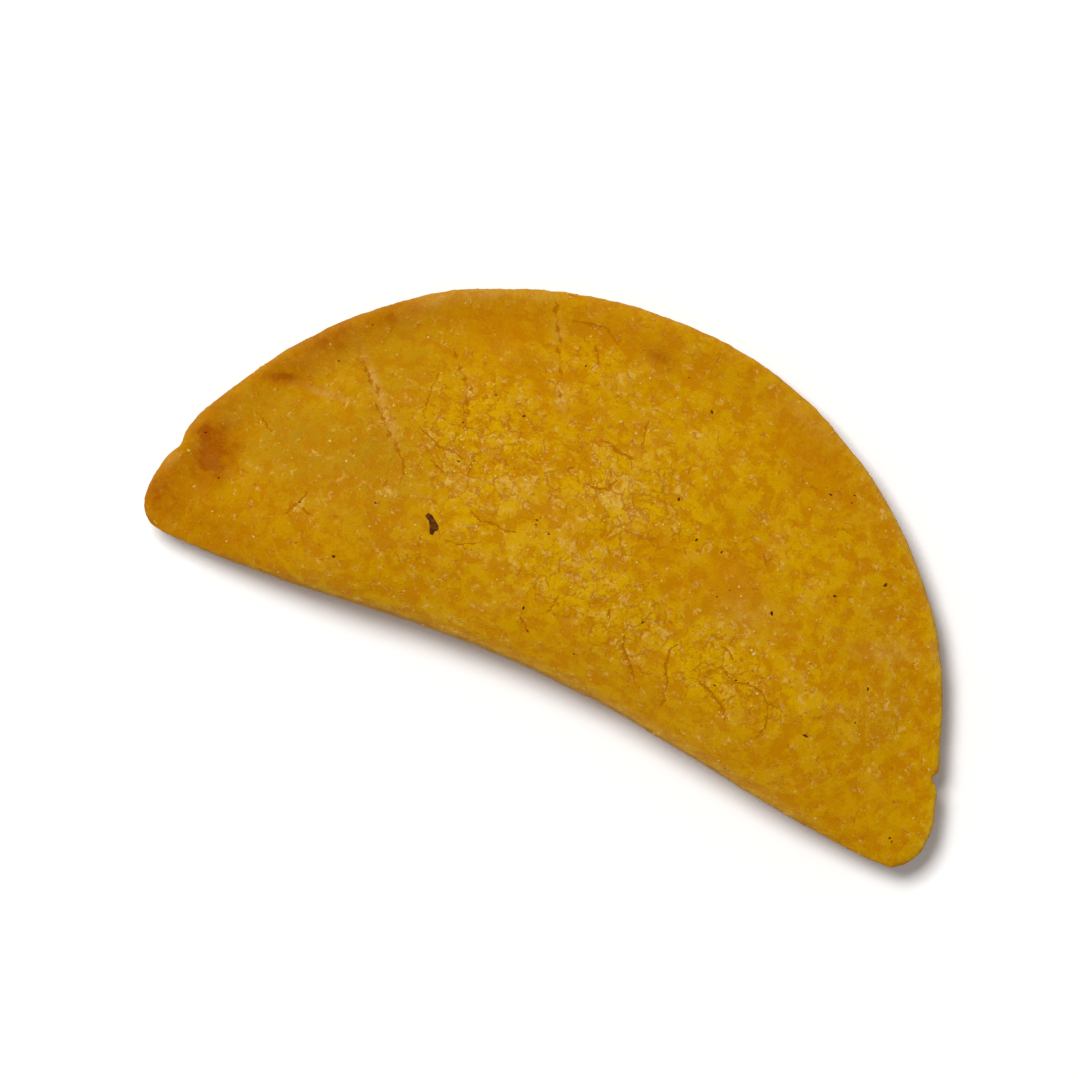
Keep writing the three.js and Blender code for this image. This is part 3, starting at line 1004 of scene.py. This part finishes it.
class EMPANADA_OT_crust(bpy.types.Operator):
    """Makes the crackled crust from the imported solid"""

    bl_idname = "empanada.make_crust"
    bl_label = "Make Crust"

    def execute(self, context):
        sizes, colours = context.scene.empanada_sizes, context.scene.empanada_colours
        crust = new_piece("crust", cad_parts[NODE].data.copy())
        remesh = crust.modifiers.new("even_grid", "REMESH")
        remesh.mode = "VOXEL"
        remesh.voxel_size = sizes.grid
        softened = crust.modifiers.new("softened", "SMOOTH")
        softened.factor = 0.5
        softened.iterations = SOFTENING_STEPS
        mesh = applied(crust)
        if len(mesh.polygons) < FEWEST_FACES:
            raise RuntimeError("the crust's solid could not be remeshed")
        refine_crust(mesh)
        store_masks(mesh)
        relief = crust.modifiers.new("relief", "NODES")
        relief.node_group = relief_tree(sizes)
        mesh = applied(crust)
        mesh.shade_smooth()
        dress(crust, crust_material(colours, sizes))
        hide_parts(NODE)
        return {"FINISHED"}


class EMPANADA_OT_flecks(bpy.types.Operator):
    """Sinks the large hull fleck and the small dark specks in the crust"""

    bl_idname = "empanada.make_flecks"
    bl_label = "Make Hull Flecks"

    def execute(self, context):
        sizes, colours = context.scene.empanada_sizes, context.scene.empanada_colours
        random = np.random.default_rng(SPECK_SEED)
        surface = crust_surface()
        material = hull_material(colours)
        fleck = thin_flake("hull_fleck", surface, FLECK, sizes.fleck_half)
        dress(new_piece("hull_fleck", fleck), material)
        specks = placed_chips(
            random, surface, HULL_SPECKS, narrowing=0.6, flattening=0.3, sectors=8
        )
        dress(new_piece("hull_specks", joined_chips("hull_specks", specks)), material)
        return {"FINISHED"}


class EMPANADA_OT_grits(bpy.types.Operator):
    """Scatters pale maize grits, half sunk in the crust"""

    bl_idname = "empanada.make_grits"
    bl_label = "Make Maize Grits"

    def execute(self, context):
        sizes, colours = context.scene.empanada_sizes, context.scene.empanada_colours
        random = np.random.default_rng(GRIT_SEED)
        mesh = bpy.data.objects["crust"].data
        place = vertex_values(mesh, "co", 3)
        normals = vertex_values(mesh, "normal", 3)
        crumbly = np.zeros(len(mesh.vertices), np.float32)
        mesh.attributes["crumbly"].data.foreach_get("value", crumbly)
        chance = GRIT_CHANCE_ELSEWHERE + crumbly.astype(float)
        chance /= chance.sum()
        chosen = random.choice(len(place), GRIT_COUNT, replace=False, p=chance)
        chips = placed_chips(
            random, crust_surface(), LARGE_GRITS, narrowing=0.65, flattening=0.35, sectors=9
        )
        for index in chosen:
            half = sizes.grit_radius * random.uniform(0.4, 1.0)
            turn = random.uniform(0, math.pi)
            half_size = (half, half * random.uniform(0.6, 0.9), 0.4 * half)
            point, normal = Vector(place[index]), Vector(normals[index])
            chips.append(chip(random, point, normal, half_size, turn, sectors=7))
        dress(new_piece("maize_grits", joined_chips("maize_grits", chips)), grit_material(colours))
        return {"FINISHED"}


# ---- the stage --------------------------------------------------------------------------------


def pale_floor(width, floor_colour):
    """A flat floor under the empanada, very slightly uneven in its colour."""
    half = width / 2
    corners = [(-half, -half, 0), (half, -half, 0), (half, half, 0), (-half, half, 0)]
    mesh = bpy.data.meshes.new("floor")
    mesh.from_pydata(corners, [], [(0, 1, 2, 3)])
    material, tree, shader = new_material("pale_floor")
    shade = ramp(tree, grain(tree, put(tree, "ShaderNodeNewGeometry"), 3.0), 0, 1, 0.99, 1.0)
    plain = put(tree, "ShaderNodeCombineXYZ", enumerate(floor_colour))
    tree.links.new(scaled(tree, plain, shade), shader.inputs["Base Color"])
    shader.inputs["Roughness"].default_value = 0.9
    shader.inputs["Specular IOR Level"].default_value = 0.1
    mesh.materials.append(material)
    new_piece("floor", mesh)


def even_sky():
    """A plain white sky that fills the shadows."""
    world = bpy.data.worlds.new("studio")
    world.use_nodes = True
    background = world.node_tree.nodes["Background"]
    background.inputs["Color"].default_value = (1, 1, 1, 1)
    background.inputs["Strength"].default_value = SKY_STRENGTH
    bpy.context.scene.world = world


def camera_above(view_width):
    """A camera that looks straight down and sees the width given."""
    camera = bpy.data.cameras.new("camera")
    camera.lens = LENS
    camera.sensor_width = SENSOR
    holder = new_piece("camera", camera)
    away = view_width * LENS / SENSOR
    holder.location = Vector(VIEW_MIDDLE) * MM + Vector((0, 0, away))
    holder.rotation_euler = (0, 0, math.radians(VIEW_TURN))
    bpy.context.scene.camera = holder
    return holder


def key_light(camera):
    """One square area light from the upper left of the view, facing the empanada."""
    way = Vector(KEY_WAY)
    way.rotate(camera.rotation_euler)
    place = way * KEY_DISTANCE + Vector((0, 0, KEY_HEIGHT))
    lamp = bpy.data.lights.new("key_light", "AREA")
    lamp.size = KEY_SIZE
    lamp.energy = KEY_POWER
    holder = new_piece("key_light", lamp)
    holder.location = place
    holder.rotation_euler = (-place).to_track_quat("-Z", "Y").to_euler()


class EMPANADA_OT_stage(bpy.types.Operator):
    """Sets the pale floor, the soft light and the camera"""

    bl_idname = "empanada.make_stage"
    bl_label = "Make Stage"

    def execute(self, context):
        sizes, colours = context.scene.empanada_sizes, context.scene.empanada_colours
        pale_floor(sizes.floor, colours.floor)
        even_sky()
        context.scene.view_settings.view_transform = "Standard"
        key_light(camera_above(sizes.view_width))
        return {"FINISHED"}


# ---- the add-on -------------------------------------------------------------------------------


class EMPANADA_PT_panel(bpy.types.Panel):
    """Lists the steps that make the empanada"""

    bl_label = "Empanada"
    bl_idname = "EMPANADA_PT_panel"
    bl_space_type = "VIEW_3D"
    bl_region_type = "UI"
    bl_category = "Empanada"

    def draw(self, context):
        for group in (context.scene.empanada_sizes, context.scene.empanada_colours):
            for name in group.bl_rna.properties.keys():
                if name not in ("rna_type", "name"):
                    self.layout.prop(group, name)
        for step in STEPS:
            self.layout.operator(step.bl_idname)


STEPS = (EMPANADA_OT_crust, EMPANADA_OT_flecks, EMPANADA_OT_grits, EMPANADA_OT_stage)
CLASSES = (EmpanadaSizes, EmpanadaColours, *STEPS, EMPANADA_PT_panel)


def register():
    """Makes the classes and their settings known to Blender."""
    for each in CLASSES:
        bpy.utils.register_class(each)
    bpy.types.Scene.empanada_sizes = bpy.props.PointerProperty(type=EmpanadaSizes)
    bpy.types.Scene.empanada_colours = bpy.props.PointerProperty(type=EmpanadaColours)


def unregister():
    """Takes the settings and the classes away again."""
    del bpy.types.Scene.empanada_sizes
    del bpy.types.Scene.empanada_colours
    for each in reversed(CLASSES):
        bpy.utils.unregister_class(each)


def main():
    """Makes every piece and the stage."""
    register()
    bpy.ops.empanada.make_crust()
    bpy.ops.empanada.make_flecks()
    bpy.ops.empanada.make_grits()
    bpy.ops.empanada.make_stage()


if __name__ == "__main__":
    main()
